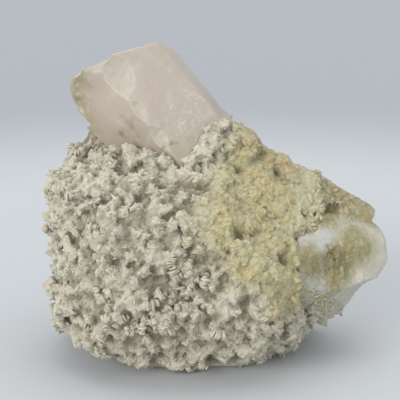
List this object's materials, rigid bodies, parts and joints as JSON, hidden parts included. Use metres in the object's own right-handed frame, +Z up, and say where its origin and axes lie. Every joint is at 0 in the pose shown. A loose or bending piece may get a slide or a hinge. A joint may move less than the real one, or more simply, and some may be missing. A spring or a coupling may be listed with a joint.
{
  "type": "morganite crystal on matrix",
  "caption": "Stubby pink beryl prism standing in white bladed cleavelandite, with an iron-stained slope and a cap of glassy quartz, on a flat break that it rests on.",
  "frame": {"origin": "a point on the flat rest face at the underside, below the middle of the matrix", "axes": "+X along the longest side, towards the quartz; +Y to the back, away from the side with the crystal's ridge; +Z up from the rest face"},
  "size_m": [0.1181, 0.0871, 0.1076],
  "materials": {
    "cleavelandite": "white bladed albite, matt to pearly, cream and rust stained on the slope",
    "morganite": "pale pink translucent beryl, glassy with an etched, frosted skin",
    "quartz": "milky translucent quartz with shell-like breaks and yellow-brown stain"
  },
  "bodies": {
    "root": {"cleavelandite_matrix": "cleavelandite", "morganite_crystal": "morganite", "quartz": "quartz"}
  },
  "joints": []
}
